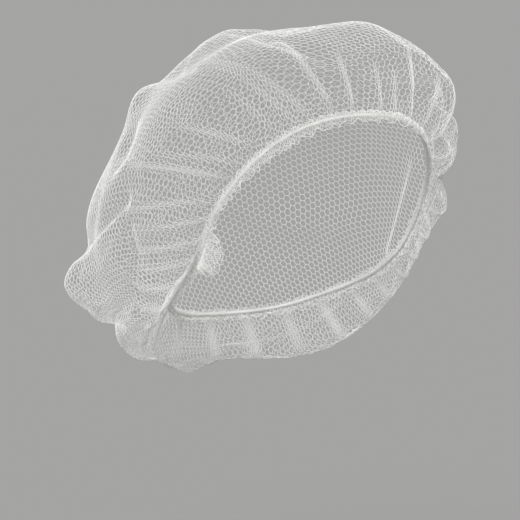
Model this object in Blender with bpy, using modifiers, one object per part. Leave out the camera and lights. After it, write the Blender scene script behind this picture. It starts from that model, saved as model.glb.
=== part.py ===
"""A bouffant hairnet in its worn shape, with the elastic that gathers its edge and the frill outside the elastic.

Lengths are in metres. +Z is up, the forehead faces -Y and the wearer's right is -X. The origin is the crown point
of the hollow, where the net bears when it is worn.

The bag is described round a slanted axis. A turn is an angle round that axis: 0 is the forehead, 90 the wearer's
right, 180 the nape and 270 the wearer's left. Reach is a distance from the axis and height a distance along it,
above the flat oval through the forehead and the nape.
"""

from collections import namedtuple

import bmesh
import bpy
import numpy as np

# The rim, where the elastic runs
RIM_LENGTH = 0.191
RIM_WIDTH = 0.140
RIM_SLANT = np.radians(38.2)
RIM_AHEAD = 0.013
RIM_DROP = 0.097
RIM_SAG = 0.021

# The bag of net
BAG_HEIGHT = 0.126
BAG_PUFF = 0.050
NET_WALL = 0.001
FOLD_DEPTH = 0.010
FOLD_WIDTH = 0.012
GATHER_COUNT = 24
GATHER_DEPTH = 0.0012
GATHER_FADE = 0.020
RIM_HOLD = 0.004

# The elastic, with the net's edge wrapped round it
ELASTIC_WIDTH = 0.0036
ELASTIC_THICKNESS = 0.0022
ELASTIC_RIPPLE = 0.0003

# The frill outside the elastic
FRILL_WIDTH = 0.0022
FRILL_RIPPLE = 0.0008
FRILL_WALL = 0.001
POUCH_WIDTH = 0.0170
POUCH_BULGE = 0.0035
POUCH_LEAN = 9.0

# The space between neighbouring pieces, and how far a cloth's cut edge may lean from square to its first direction
GAP = 0.0003
EDGE_LEAN = np.radians(30)

# Fineness of the mesh
COLUMNS = 4 * GATHER_COUNT
BAG_ROWS = 18
FRILL_ROWS = 3
ELASTIC_SIDES = 6
CURVE_STEPS = 16
FOLD_STEPS = 12

# Reach is a share of the oval's own reach at that turn, and sag a share of RIM_SAG
RimPoint = namedtuple("RimPoint", "turn reach sag")
RIM_HALF = (
    RimPoint(0, 1.000, 0.00),
    RimPoint(30, 1.040, 0.06),
    RimPoint(60, 1.030, 0.47),
    RimPoint(90, 0.965, 0.98),
    RimPoint(105, 0.955, 1.00),
    RimPoint(120, 0.975, 0.85),
    RimPoint(150, 1.020, 0.30),
    RimPoint(180, 1.000, 0.00),
)

# A section of the bag from the rim to the pole. Leave is the angle in degrees at which the net leaves the elastic,
# 0 straight out and 90 straight up. The lip, low and high points lie out past the rim by a share of BAG_PUFF. The
# shoulder and crown points reach a share of the rim's own reach. Every rise is a share of BAG_HEIGHT.
Section = namedtuple(
    "Section",
    "turn leave lip lip_rise low low_rise high high_rise shoulder shoulder_rise crown crown_rise",
)
SECTIONS = (
    Section(0, 82, 0.03, 0.06, 0.08, 0.18, 0.02, 0.38, 0.79, 0.61, 0.44, 0.80),
    Section(35, 70, 0.10, 0.04, 0.18, 0.14, 0.18, 0.34, 0.82, 0.59, 0.46, 0.82),
    Section(70, 30, 0.14, -0.09, 0.30, 0.02, 0.38, 0.28, 0.96, 0.59, 0.54, 0.83),
    Section(100, -5, 0.24, -0.22, 0.60, -0.06, 0.62, 0.26, 1.05, 0.59, 0.59, 0.85),
    Section(118, -15, 0.42, -0.28, 0.78, -0.04, 0.73, 0.30, 1.12, 0.60, 0.62, 0.87),
    Section(132, -20, 0.52, -0.26, 1.11, 0.15, 0.62, 0.34, 1.10, 0.63, 0.62, 0.90),
    Section(150, -20, 0.52, -0.24, 0.74, -0.03, 0.66, 0.34, 1.14, 0.66, 0.62, 0.93),
    Section(180, -20, 0.30, -0.18, 0.66, 0.02, 0.70, 0.36, 1.12, 0.70, 0.60, 0.94),
    Section(215, -20, 0.42, -0.26, 0.80, 0.00, 0.76, 0.34, 1.12, 0.66, 0.62, 0.92),
    Section(245, -15, 0.34, -0.24, 0.70, -0.04, 0.76, 0.30, 1.16, 0.62, 0.64, 0.90),
    Section(275, 0, 0.18, -0.20, 0.42, -0.05, 0.70, 0.27, 1.16, 0.60, 0.61, 0.85),
    Section(297, 20, 0.24, -0.12, 0.52, 0.05, 0.68, 0.26, 1.16, 0.59, 0.59, 0.82),
    Section(317, 50, 0.24, 0.00, 0.54, 0.15, 0.61, 0.34, 1.09, 0.57, 0.56, 0.79),
    Section(340, 75, 0.06, 0.06, 0.20, 0.18, 0.27, 0.38, 0.95, 0.59, 0.49, 0.80),
)

# A fold runs between two points of the bag. Climb is the share of the way from the rim to the pole. Press is a
# share of FOLD_DEPTH, inward if positive and raised if negative, and spread a share of FOLD_WIDTH.
Fold = namedtuple("Fold", "turn climb end_turn end_climb press spread")
FOLDS = (
    # Dents and lobes of the wearer's left temple
    Fold(288, 0.31, 308, 0.27, 0.80, 0.6),
    Fold(311, 0.13, 309, 0.30, 0.95, 0.6),
    Fold(303, 0.03, 284, 0.26, 0.90, 0.6),
    Fold(287, 0.10, 291, 0.14, -0.20, 0.8),
    Fold(292, 0.57, 310, 0.37, 0.50, 0.6),
    Fold(321, 0.28, 331, 0.34, 0.50, 0.8),
    # Hollows and swells over the top
    Fold(300, 0.70, 335, 0.82, 0.50, 1.2),
    Fold(322, 0.46, 338, 0.52, -0.20, 1.4),
    Fold(343, 0.52, 357, 0.60, 0.45, 1.0),
    Fold(8, 0.72, 20, 0.78, -0.30, 1.0),
    Fold(95, 0.82, 135, 0.92, 0.60, 1.0),
    Fold(108, 0.72, 114, 0.76, -0.60, 1.1),
    Fold(20, 0.66, 62, 0.60, 0.30, 1.4),
    # Creases of the two hanging lobes at the wearer's right
    Fold(100, 0.50, 104, 0.56, 0.45, 1.0),
    Fold(130, 0.425, 94, 0.30, 0.55, 0.4),
    Fold(98, 0.26, 102, 0.18, 0.40, 0.5),
    Fold(122, 0.31, 108, 0.24, -0.35, 0.5),
    Fold(114, 0.19, 146, 0.235, 0.95, 0.6),
    Fold(130, 0.28, 144, 0.285, 0.35, 0.6),
    Fold(112, 0.12, 138, 0.14, 0.40, 0.4),
    Fold(150, 0.12, 157, 0.14, 0.50, 0.6),
    Fold(167, 0.10, 173, 0.14, -0.45, 0.7),
    # Pleats that rise from the forehead
    Fold(12, 0.05, 20, 0.30, -0.20, 0.4),
    Fold(1, 0.03, 3, 0.20, -0.18, 0.4),
    Fold(352, 0.03, 350, 0.20, -0.20, 0.4),
    # Gathers that fan out over the wearer's right temple
    Fold(42, 0.03, 80, 0.26, -0.30, 0.6),
    Fold(52, 0.03, 90, 0.24, -0.28, 0.5),
    Fold(64, 0.03, 94, 0.18, -0.25, 0.5),
    # Folds of the back and of the wearer's left
    Fold(166, 0.30, 186, 0.52, 0.60, 0.8),
    Fold(188, 0.16, 222, 0.22, 0.60, 0.7),
    Fold(204, 0.56, 236, 0.40, 0.55, 0.8),
    Fold(248, 0.24, 272, 0.34, 0.60, 0.7),
    Fold(228, 0.72, 262, 0.64, 0.45, 1.0),
    Fold(150, 0.70, 176, 0.80, 0.45, 1.0),
    Fold(256, 0.50, 262, 0.56, -0.45, 1.4),
)

# Width is a share of FRILL_WIDTH, and pouch the share of POUCH_WIDTH that is added where the frill stands out.
# Lean is the share of POUCH_LEAN, in degrees of turn, by which its edge stands forward. Flare is the angle in degrees
# by which the frill leans out from the wearer.
FrillPoint = namedtuple("FrillPoint", "turn width pouch lean flare")
FRILL = (
    FrillPoint(0, 1.0, 0.00, 0.0, 20),
    FrillPoint(20, 1.6, 0.00, 0.0, 22),
    FrillPoint(35, 2.3, 0.00, 0.0, 24),
    FrillPoint(48, 1.8, 0.00, 0.0, 22),
    FrillPoint(62, 1.1, 0.00, 0.0, 18),
    FrillPoint(75, 0.9, 0.00, 0.1, 14),
    FrillPoint(80, 1.0, 0.50, 0.8, 12),
    FrillPoint(84, 1.0, 0.85, 1.0, 10),
    FrillPoint(88, 1.0, 0.95, 0.8, 8),
    FrillPoint(92, 1.0, 0.65, 0.4, 4),
    FrillPoint(96, 1.0, 0.20, 0.1, 0),
    FrillPoint(102, 0.9, 0.00, 0.0, -5),
    FrillPoint(150, 1.0, 0.00, 0.0, -15),
    FrillPoint(210, 1.2, 0.00, 0.0, -15),
    FrillPoint(270, 0.9, 0.00, 0.0, -5),
    FrillPoint(330, 1.2, 0.00, 0.0, 20),
)

NYLON = {"colour": (0.90, 0.90, 0.87, 1), "roughness": 0.45}
ELASTIC = {"colour": (0.93, 0.93, 0.90, 1), "roughness": 0.60}


def mirrored(half):
    """The rim's rows for both sides, from those of the wearer's right."""
    left = [row._replace(turn=360 - row.turn) for row in half if 0 < row.turn < 180]
    return list(half) + left[::-1]


def hermite(start, end, start_slope, end_slope, t):
    """The cubic between two values whose slopes are given per unit of t."""
    return (
        (2 * t**3 - 3 * t**2 + 1) * start
        + (t**3 - 2 * t**2 + t) * start_slope
        + (3 * t**2 - 2 * t**3) * end
        + (t**3 - t**2) * end_slope
    )


def read_round(rows, column, turn):
    """One column of a table at any turn, as a smooth curve that closes after 360 degrees."""
    turns = np.array([row.turn for row in rows], float)
    values = np.array([getattr(row, column) for row in rows], float)
    turns = np.concatenate([turns[-2:] - 360, turns, turns[:3] + 360])
    values = np.concatenate([values[-2:], values, values[:3]])
    slopes = (values[2:] - values[:-2]) / (turns[2:] - turns[:-2])
    turn = turn % 360
    at = np.searchsorted(turns, turn, side="right") - 1
    span = turns[at + 1] - turns[at]
    t = (turn - turns[at]) / span
    return hermite(values[at], values[at + 1], slopes[at - 1] * span, slopes[at] * span, t)


def rim_point(turn):
    """(reach, height) of the elastic's middle at a turn."""
    rows = mirrored(RIM_HALF)
    angle = np.radians(turn)
    oval = 1 / np.hypot(np.cos(angle) / (RIM_LENGTH / 2), np.sin(angle) / (RIM_WIDTH / 2))
    return np.array([oval * read_round(rows, "reach", turn), -RIM_SAG * read_round(rows, "sag", turn)])


def edge_of_elastic(turn, direction, wall):
    """(reach, height) where a cloth of this wall starts, just clear of the elastic on the side it leaves to."""
    half = np.array([ELASTIC_THICKNESS / 2 + ELASTIC_RIPPLE, ELASTIC_WIDTH / 2])
    clearance = GAP + wall / 2 * np.sin(EDGE_LEAN)
    return rim_point(turn) + direction * (np.hypot(*(half * direction)) + clearance)


def smooth_path(points, first_direction):
    """A curve through (reach, height) points that starts in a direction and ends level on the axis."""
    points = np.array(points)
    chords = np.linalg.norm(np.diff(points, axis=0), axis=1)
    mirror = points[-2] * (-1, 1)
    ahead = np.vstack([points[1:], mirror])
    behind = np.vstack([points[:1], points[:-1]])
    slopes = (ahead - behind) / (np.append(chords, chords[-1]) + np.insert(chords, 0, 0))[:, None]
    slopes[0] = first_direction
    t = np.linspace(0, 1, CURVE_STEPS, endpoint=False)[:, None]
    pieces = [
        hermite(points[k], points[k + 1], slopes[k] * chords[k], slopes[k + 1] * chords[k], t)
        for k in range(len(chords))
    ]
    return np.vstack([*pieces, points[-1:]])


def evenly(path, count):
    """The same path as a number of evenly spaced points."""
    walked = np.concatenate([[0], np.cumsum(np.linalg.norm(np.diff(path, axis=0), axis=1))])
    steps = np.linspace(0, walked[-1], count)
    return np.stack([np.interp(steps, walked, path[:, axis]) for axis in range(path.shape[1])], 1)


def bag_section(turn, rows):
    """(reach, height) points of the net at a turn, from the elastic to the pole."""
    share = {name: read_round(SECTIONS, name, turn) for name in Section._fields[1:]}
    leave = np.radians(share["leave"])
    direction = np.array([np.cos(leave), np.sin(leave)])
    rim_reach = rim_point(turn)[0]
    puffed = [
        (rim_reach + BAG_PUFF * share[name], BAG_HEIGHT * share[name + "_rise"])
        for name in ("lip", "low", "high")
    ]
    closing = [
        (rim_reach * share[name], BAG_HEIGHT * share[name + "_rise"])
        for name in ("shoulder", "crown")
    ]
    start = edge_of_elastic(turn, direction, NET_WALL)
    return evenly(smooth_path([start, *puffed, *closing, (0, BAG_HEIGHT)], direction), rows)


def placed(turn, reach, height):
    """The point at a turn, reach and height, in the part's own axes."""
    angle = np.radians(turn)
    forward = reach * np.cos(angle)
    return np.stack(
        [
            -reach * np.sin(angle),
            height * np.sin(RIM_SLANT) - forward * np.cos(RIM_SLANT) - RIM_AHEAD,
            height * np.cos(RIM_SLANT) + forward * np.sin(RIM_SLANT) - RIM_DROP,
        ],
        -1,
    )


def column_turns():
    """The turns of the mesh's columns, in degrees."""
    return np.arange(COLUMNS) * 360 / COLUMNS


def gather_wave(turn):
    """From 1 on the ridge of each gather to -1 in the valley beside it."""
    return np.cos(np.radians(turn) * GATHER_COUNT)


def outward(grid):
    """Unit normals of a grid of rows by columns that closes round its columns."""
    along = np.gradient(grid, axis=0)
    across = np.roll(grid, -1, axis=1) - np.roll(grid, 1, axis=1)
    normals = np.cross(along, across)
    return normals / np.maximum(np.linalg.norm(normals, axis=2, keepdims=True), 1e-9)


def point_on(grid, turn, climb):
    """A point of the grid at a turn and a climb, between its nearest rows and columns."""
    row = climb * (len(grid) - 1)
    column = turn / 360 * COLUMNS
    low, left = int(row), int(column)
    up, right = min(low + 1, len(grid) - 1), left + 1
    lower = grid[low, left % COLUMNS] * (1 - column % 1) + grid[low, right % COLUMNS] * (column % 1)
    upper = grid[up, left % COLUMNS] * (1 - column % 1) + grid[up, right % COLUMNS] * (column % 1)
    return lower * (1 - row % 1) + upper * (row % 1)


def fold_press(grid, fold):
    """How far one fold presses each point of the grid inward."""
    shares = np.linspace(0, 1, FOLD_STEPS)
    turns = fold.turn + (fold.end_turn - fold.turn) * shares
    climbs = fold.climb + (fold.end_climb - fold.climb) * shares
    line = [point_on(grid, turn, climb) for turn, climb in zip(turns, climbs)]
    nearest = np.min([np.linalg.norm(grid - point, axis=2) for point in line], axis=0)
    return FOLD_DEPTH * fold.press * np.exp(-((nearest / (FOLD_WIDTH * fold.spread)) ** 2))


def bag_grid():
    """Points of the middle of the net's wall: rows from the elastic to just under the pole, and the pole."""
    turns = column_turns()
    sections = np.array([bag_section(turn, BAG_ROWS) for turn in turns])
    grid = placed(turns, sections[:, :, 0].T, sections[:, :, 1].T)
    from_rim = np.linalg.norm(grid - grid[:1], axis=2)
    gathers = GATHER_DEPTH * gather_wave(turns) * np.exp(-from_rim / GATHER_FADE)
    pressed = sum(fold_press(grid, fold) for fold in FOLDS)
    # The elastic holds the net's edge, so folds and gathers start a little way from it
    held = np.exp(-((from_rim / RIM_HOLD) ** 2))
    grid = grid + outward(grid) * ((gathers - pressed) * (1 - held))[:, :, None]
    return grid[:-1], grid[-1].mean(axis=0)


def joined_rows(mesh, rows, closed=False):
    """Faces between neighbouring rows of vertices, each row a closed loop."""
    following = rows[1:] + rows[:1] if closed else rows[1:]
    for lower, upper in zip(rows, following):
        for k in range(len(lower)):
            after = (k + 1) % len(lower)
            mesh.faces.new((lower[k], lower[after], upper[after], upper[k]))


def make_object(name, mesh, material):
    """A smooth-shaded object of this mesh, with its faces turned outward."""
    bmesh.ops.recalc_face_normals(mesh, faces=mesh.faces)
    data = bpy.data.meshes.new(name)
    mesh.to_mesh(data)
    mesh.free()
    data.shade_smooth()
    data.materials.append(material)
    return bpy.data.objects.new(name, data)


def add_wall(obj, thickness):
    """Gives an open sheet its thickness, half to each side."""
    wall = obj.modifiers.new("Wall", "SOLIDIFY")
    wall.thickness = thickness
    wall.offset = 0


def crown_net(material):
    """The puffed bag of net."""
    grid, pole = bag_grid()
    mesh = bmesh.new()
    rows = [[mesh.verts.new(point) for point in row] for row in grid]
    joined_rows(mesh, rows)
    top = mesh.verts.new(pole)
    last = rows[-1]
    for k in range(COLUMNS):
        mesh.faces.new((last[k], last[(k + 1) % COLUMNS], top))
    obj = make_object("crown_net", mesh, material)
    add_wall(obj, NET_WALL)
    return obj


def elastic_band(material):
    """The closed loop of elastic, a flattened tube that swells with each gather."""
    mesh = bmesh.new()
    half_side = np.pi / ELASTIC_SIDES
    around = half_side * (2 * np.arange(ELASTIC_SIDES) + 1)
    rings = []
    for turn in column_turns():
        reach, height = rim_point(turn)
        half_thickness = ELASTIC_THICKNESS / 2 + ELASTIC_RIPPLE * gather_wave(turn)
        # The inner and outer faces are flats of the section, and its upper and lower edges are corners
        out = reach + half_thickness * np.cos(around) / np.cos(half_side)
        up = height + ELASTIC_WIDTH / 2 * np.sin(around)
        rings.append([mesh.verts.new(point) for point in placed(turn, out, up)])
    joined_rows(mesh, rings, closed=True)
    return make_object("elastic_band", mesh, material)


def hem_frill(material):
    """The edge of the net outside the elastic, with its pouch in front of the wearer's right ear."""
    turns = column_turns()
    shares = np.linspace(0, 1, FRILL_ROWS)
    mesh = bmesh.new()
    columns = []
    for turn in turns:
        flare = np.radians(read_round(FRILL, "flare", turn))
        direction = np.array([np.sin(flare), -np.cos(flare)])
        across = np.array([np.cos(flare), np.sin(flare)])
        pouch = max(read_round(FRILL, "pouch", turn), 0)
        width = FRILL_WIDTH * read_round(FRILL, "width", turn) + POUCH_WIDTH * pouch
        ripple = FRILL_RIPPLE * gather_wave(turn) * shares
        bulge = ripple + POUCH_BULGE * pouch * np.sin(np.pi * shares)
        start = edge_of_elastic(turn, direction, FRILL_WALL)
        section = start + np.outer(shares * width, direction) + np.outer(bulge, across)
        turned = turn - POUCH_LEAN * max(read_round(FRILL, "lean", turn), 0) * shares
        columns.append([mesh.verts.new(point) for point in placed(turned, section[:, 0], section[:, 1])])
    joined_rows(mesh, [list(row) for row in zip(*columns)])
    obj = make_object("hem_frill", mesh, material)
    add_wall(obj, FRILL_WALL)
    return obj


def principled(name, look):
    """A plain material of one colour and roughness."""
    material = bpy.data.materials.new(name)
    material.use_nodes = True
    shader = material.node_tree.nodes["Principled BSDF"]
    shader.inputs["Base Color"].default_value = look["colour"]
    shader.inputs["Roughness"].default_value = look["roughness"]
    shader.inputs["Metallic"].default_value = 0
    return material


def clear_scene():
    """Removes whatever the scene holds."""
    for obj in list(bpy.data.objects):
        bpy.data.objects.remove(obj, do_unlink=True)


def main():
    """Builds every piece in a collection of its own, under one empty at the origin."""
    clear_scene()
    collection = bpy.data.collections.new("Hairnet")
    bpy.context.scene.collection.children.link(collection)
    hairnet = bpy.data.objects.new("hairnet", None)
    collection.objects.link(hairnet)
    nylon = principled("White nylon net", NYLON)
    pieces = (
        crown_net(nylon),
        elastic_band(principled("White covered elastic", ELASTIC)),
        hem_frill(nylon),
    )
    for piece in pieces:
        collection.objects.link(piece)
        piece.parent = hairnet


main()
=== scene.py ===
"""The looks of a worn bouffant hairnet: its hexagonal net, its gathered elastic hem and its frill.

The file is laid out as an add-on and run as a script. Lengths are in metres. +Z is up, the forehead faces
-Y and the wearer's right is -X.

The net is described round a slanted axis. A turn is an angle round that axis: 0 is the forehead, 90 the
wearer's right, 180 the nape and 270 the wearer's left. Reach is a distance from the axis and height a
distance along it, above the flat oval through the forehead and the nape.
"""

from collections import namedtuple

import bpy
import numpy as np
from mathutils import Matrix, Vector


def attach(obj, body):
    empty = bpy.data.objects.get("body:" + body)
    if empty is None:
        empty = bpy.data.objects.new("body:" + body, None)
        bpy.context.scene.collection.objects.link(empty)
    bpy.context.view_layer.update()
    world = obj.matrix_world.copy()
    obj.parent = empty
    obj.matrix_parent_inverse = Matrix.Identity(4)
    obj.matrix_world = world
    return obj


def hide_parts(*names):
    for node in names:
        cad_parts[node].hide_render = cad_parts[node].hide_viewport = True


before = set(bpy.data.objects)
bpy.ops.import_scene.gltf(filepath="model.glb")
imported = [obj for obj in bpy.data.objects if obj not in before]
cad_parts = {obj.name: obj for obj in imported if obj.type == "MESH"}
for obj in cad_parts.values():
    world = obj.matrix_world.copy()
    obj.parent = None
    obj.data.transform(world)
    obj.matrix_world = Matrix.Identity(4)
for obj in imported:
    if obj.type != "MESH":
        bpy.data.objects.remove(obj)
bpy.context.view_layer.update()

bl_info = {
    "name": "Bouffant Hairnet",
    "version": (1, 0, 0),
    "blender": (4, 5, 0),
    "location": "View3D > Sidebar > Hairnet",
    "description": "Makes a worn bouffant hairnet of hexagonal net with a gathered elastic hem",
    "category": "Add Mesh",
}

BODY = "root"

# The rim, where the elastic runs
RIM_LENGTH = 0.191
RIM_WIDTH = 0.140
RIM_SLANT = np.radians(38.2)
RIM_AHEAD = 0.013
RIM_DROP = 0.097
RIM_SAG = 0.021

# The bag of net
BAG_HEIGHT = 0.126
BAG_PUFF = 0.050
FOLD_DEPTH = 0.010
FOLD_WIDTH = 0.012
GATHER_COUNT = 24
GATHER_DEPTH = 0.0014
GATHER_FADE = 0.024
RIPPLE_DEPTH = 0.0004
RIPPLE_FADE = 0.008
RIPPLE_CLOTH = 0.1
RIPPLES_A_GATHER = 3
CROWD_SHARE = 0.6
CROWD_FADE = 0.008
RIM_HOLD = 0.004

# The elastic, with the net's edge wrapped round it
ELASTIC_WIDTH = 0.0036
ELASTIC_THICKNESS = 0.0022

# The frill outside the elastic
FRILL_WIDTH = 0.0022
POUCH_WIDTH = 0.0170
POUCH_BULGE = 0.0035
POUCH_LEAN = 9.0
POUCH_CALM = 0.7
FRILL_RIPPLE = 0.0012
FRILL_WAVER = 0.4

# The hem, where the net's edge is rolled round the elastic and gathered onto it
HEM_CLOTH = 1.51
HEM_LIFT = 0.00035
HEM_SWELL = 0.26
HEM_PUCKER = 0.0005
PUCKERS_A_GATHER = 5
HEM_WRAP = (115, -80)
HEM_THREAD = 1.2
EDGE_THREAD = 1.2
HEM_COLUMNS = 66 * GATHER_COUNT
HEM_WRAP_ROWS = 12
HEM_FRILL_ROWS = 12
CORE_SHARE = 0.55
CORE_SIDES = 12

# Fineness of the sheet that the net is laid on
SHEET_COLUMNS = 40 * GATHER_COUNT
SHEET_ROWS = 130
CURVE_STEPS = 24
FOLD_STEPS = 26

# The flat cloth. THREAD_COVER and RELAXED are assumptions with no source, chosen so that the sheets'
# declarations pass. The first is the share of width by length that is declared as a sheet's area. It stands
# for the threads' cover and isn't the cut's own flat area. The threads really cover about 0.16 of the cloth
# that they are laid on. Where panels meet, their threads differ by SEAM_STEP in thickness.
CLOTH_MAP = "OFBake"
CLOTH_SPAN = 0.66
HEM_CLOTH_SPAN = (HEM_CLOTH + 0.01, 0.08)
SEAM_STEP = 0.03

# How the knots of the net stray. The noise's own values stray by about a quarter of its whole range.
KNOT_NOISE = 260.0
NOISE_RANGE = 4.0
NET_SEED = 1.0
HEM_SEED = 2.0
# A knot that misses the cloth is put at this height, and all that lies above half of it is deleted
OFF_CLOTH = 2.0

# Spun thread. Shade and roughness follow soft patches and a fine grain, each a noise whose middle is used.
PATCH_SCALE = 60.0
PATCH_MIDDLE = (0.35, 0.65)
PATCH_PART = 0.7
GRAIN_SCALE = 1500.0
GRAIN_MIDDLE = (0.3, 0.7)
GRAIN_PART = 0.3
# Dark is the darkest patch's share of the colour, and relief how far the grain stands out
Finish = namedtuple("Finish", "name dark roughness relief")
NET_FINISH = Finish("White nylon net", 0.9, (0.32, 0.5), 0.00004)
ELASTIC_FINISH = Finish("White elastic", 0.85, (0.55, 0.8), 0.0001)

# The hem's gathers swell in waves round the loop. Wander shifts a wave's crests to and fro so many times.
Wave = namedtuple("Wave", "share count shift wander")
PUCKER_WAVES = (
    Wave(0.35, GATHER_COUNT, 0.0, 0),
    Wave(0.30, 79, 1.3, 5),
    Wave(0.20, 131, 0.4, 0),
    Wave(0.15, 11, 2.1, 0),
)

# Reach is a share of the oval's own reach at that turn, and sag a share of RIM_SAG
RimPoint = namedtuple("RimPoint", "turn reach sag")
RIM_HALF = (
    RimPoint(0, 1.000, 0.00),
    RimPoint(30, 1.040, 0.06),
    RimPoint(60, 1.030, 0.47),
    RimPoint(90, 0.965, 0.98),
    RimPoint(105, 0.955, 1.00),
    RimPoint(120, 0.975, 0.85),
    RimPoint(150, 1.020, 0.30),
    RimPoint(180, 1.000, 0.00),
)

# A section of the bag from the rim to the pole. Leave is the angle in degrees at which the net leaves the
# elastic, 0 straight out and 90 straight up. The lip, low and high points lie out past the rim by a share of
# BAG_PUFF. The shoulder and crown points reach a share of the rim's own reach. Every rise is a share of
# BAG_HEIGHT.
Section = namedtuple(
    "Section",
    "turn leave lip lip_rise low low_rise high high_rise shoulder shoulder_rise crown crown_rise",
)
SECTIONS = (
    Section(0, 82, 0.03, 0.06, 0.08, 0.18, 0.02, 0.38, 0.79, 0.61, 0.44, 0.80),
    Section(35, 70, 0.10, 0.04, 0.18, 0.14, 0.18, 0.34, 0.82, 0.59, 0.46, 0.82),
    Section(70, 30, 0.14, -0.09, 0.30, 0.02, 0.38, 0.28, 0.96, 0.59, 0.54, 0.83),
    Section(100, -5, 0.24, -0.22, 0.60, -0.06, 0.62, 0.26, 1.05, 0.59, 0.59, 0.85),
    Section(118, -15, 0.42, -0.28, 0.78, -0.04, 0.73, 0.30, 1.12, 0.60, 0.62, 0.87),
    Section(132, -20, 0.52, -0.26, 1.11, 0.15, 0.62, 0.34, 1.10, 0.63, 0.62, 0.90),
    Section(150, -20, 0.52, -0.24, 0.74, -0.03, 0.66, 0.34, 1.14, 0.66, 0.62, 0.93),
    Section(180, -20, 0.30, -0.18, 0.66, 0.02, 0.70, 0.36, 1.12, 0.70, 0.60, 0.94),
    Section(215, -20, 0.42, -0.26, 0.80, 0.00, 0.76, 0.34, 1.12, 0.66, 0.62, 0.92),
    Section(245, -15, 0.34, -0.24, 0.70, -0.04, 0.76, 0.30, 1.16, 0.62, 0.64, 0.90),
    Section(275, 0, 0.18, -0.20, 0.42, -0.05, 0.70, 0.27, 1.16, 0.60, 0.61, 0.85),
    Section(297, 20, 0.24, -0.12, 0.52, 0.05, 0.68, 0.26, 1.16, 0.59, 0.59, 0.82),
    Section(317, 50, 0.24, 0.00, 0.54, 0.15, 0.61, 0.34, 1.09, 0.57, 0.56, 0.79),
    Section(340, 75, 0.06, 0.06, 0.20, 0.18, 0.27, 0.38, 0.95, 0.59, 0.49, 0.80),
)

# A fold runs between two points of the bag. Climb is the share of the way from the rim to the pole. Press
# is a share of FOLD_DEPTH, inward if positive and raised if negative, and spread a share of FOLD_WIDTH.
Fold = namedtuple("Fold", "turn climb end_turn end_climb press spread")
FOLDS = (
    # Dents and lobes of the wearer's left temple
    Fold(288, 0.31, 308, 0.27, 0.80, 0.6),
    Fold(311, 0.13, 309, 0.30, 0.95, 0.6),
    Fold(303, 0.03, 284, 0.26, 0.90, 0.6),
    Fold(287, 0.10, 291, 0.14, -0.20, 0.8),
    Fold(292, 0.57, 310, 0.37, 0.50, 0.6),
    Fold(321, 0.28, 331, 0.34, 0.50, 0.8),
    # Hollows and swells over the top
    Fold(300, 0.70, 335, 0.82, 0.50, 1.2),
    Fold(322, 0.46, 338, 0.52, -0.20, 1.4),
    Fold(343, 0.52, 357, 0.60, 0.45, 1.0),
    Fold(8, 0.72, 20, 0.78, -0.30, 1.0),
    Fold(95, 0.82, 135, 0.92, 0.60, 1.0),
    Fold(108, 0.72, 114, 0.76, -0.60, 1.1),
    Fold(20, 0.66, 62, 0.60, 0.30, 1.4),
    # Creases of the two hanging lobes at the wearer's right
    Fold(100, 0.50, 104, 0.56, 0.45, 1.0),
    Fold(130, 0.425, 94, 0.30, 0.55, 0.4),
    Fold(98, 0.26, 102, 0.18, 0.40, 0.5),
    Fold(122, 0.31, 108, 0.24, -0.35, 0.5),
    Fold(114, 0.19, 146, 0.235, 0.95, 0.6),
    Fold(130, 0.28, 144, 0.285, 0.35, 0.6),
    Fold(112, 0.12, 138, 0.14, 0.40, 0.4),
    Fold(150, 0.12, 157, 0.14, 0.50, 0.6),
    Fold(167, 0.10, 173, 0.14, -0.45, 0.7),
    # Pleats that rise from the forehead
    Fold(12, 0.05, 20, 0.30, -0.20, 0.4),
    Fold(1, 0.03, 3, 0.20, -0.18, 0.4),
    Fold(352, 0.03, 350, 0.20, -0.20, 0.4),
    # Gathers that fan out over the wearer's right temple
    Fold(42, 0.03, 80, 0.26, -0.30, 0.6),
    Fold(52, 0.03, 90, 0.24, -0.28, 0.5),
    Fold(64, 0.03, 94, 0.18, -0.25, 0.5),
    # Folds of the back and of the wearer's left
    Fold(166, 0.30, 186, 0.52, 0.60, 0.8),
    Fold(188, 0.16, 222, 0.22, 0.60, 0.7),
    Fold(204, 0.56, 236, 0.40, 0.55, 0.8),
    Fold(248, 0.24, 272, 0.34, 0.60, 0.7),
    Fold(228, 0.72, 262, 0.64, 0.45, 1.0),
    Fold(150, 0.70, 176, 0.80, 0.45, 1.0),
    Fold(256, 0.50, 262, 0.56, -0.45, 1.4),
)

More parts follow.
